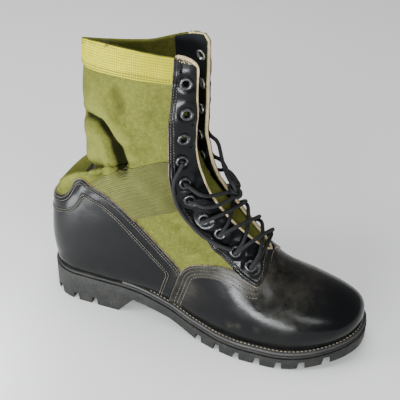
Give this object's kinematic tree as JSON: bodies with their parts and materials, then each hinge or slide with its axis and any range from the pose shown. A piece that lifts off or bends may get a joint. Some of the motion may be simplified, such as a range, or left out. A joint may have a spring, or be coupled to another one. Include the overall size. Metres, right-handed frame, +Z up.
{
  "type": "jungle boot",
  "caption": "Right jungle boot: canvas shaft, black leather vamp, counter and eyestays, webbing bands, round laces, stitched welt and a deep lugged rubber sole.",
  "frame": {"origin": "middle of the heel's tread, on the floor", "axes": "+X to the toe, +Y to the inner side of the foot, +Z up"},
  "size_m": [0.305, 0.106, 0.2684],
  "materials": {
    "canvas": "woven olive cotton canvas, matt and a little faded",
    "webbing": "ribbed olive brown webbing, matt",
    "leather": "polished black leather with a little dust",
    "rubber": "matt black moulded rubber",
    "welt": "black welt with pale brown stitches",
    "insole": "matt olive brown lining",
    "eyelet": "black enamelled steel, worn",
    "lace": "round braided black lace"
  },
  "bodies": {
    "root": {"ankle_band_inner": "webbing", "ankle_band_outer": "webbing", "collar_band": "webbing", "counter": "leather", "eyelet_inner_1": "eyelet", "eyelet_inner_10": "eyelet", "eyelet_inner_2": "eyelet", "eyelet_inner_3": "eyelet", "eyelet_inner_4": "eyelet", "eyelet_inner_5": "eyelet", "eyelet_inner_6": "eyelet", "eyelet_inner_7": "eyelet", "eyelet_inner_8": "eyelet", "eyelet_inner_9": "eyelet", "eyelet_outer_1": "eyelet", "eyelet_outer_10": "eyelet", "eyelet_outer_2": "eyelet", "eyelet_outer_3": "eyelet", "eyelet_outer_4": "eyelet", "eyelet_outer_5": "eyelet", "eyelet_outer_6": "eyelet", "eyelet_outer_7": "eyelet", "eyelet_outer_8": "eyelet", "eyelet_outer_9": "eyelet", "eyestay_inner": "leather", "eyestay_outer": "leather", "insole": "insole", "lace_crossings": "lace", "lace_hanging_loop": "lace", "lace_knot": "lace", "lace_loop_inner_4": "lace", "lace_loop_inner_5": "lace", "lace_loop_inner_6": "lace", "lace_loop_outer_5": "lace", "lace_loop_outer_6": "lace", "midsole": "rubber", "outsole": "rubber", "tongue": "canvas", "upper": "canvas", "vamp": "leather", "welt": "welt"}
  },
  "joints": []
}
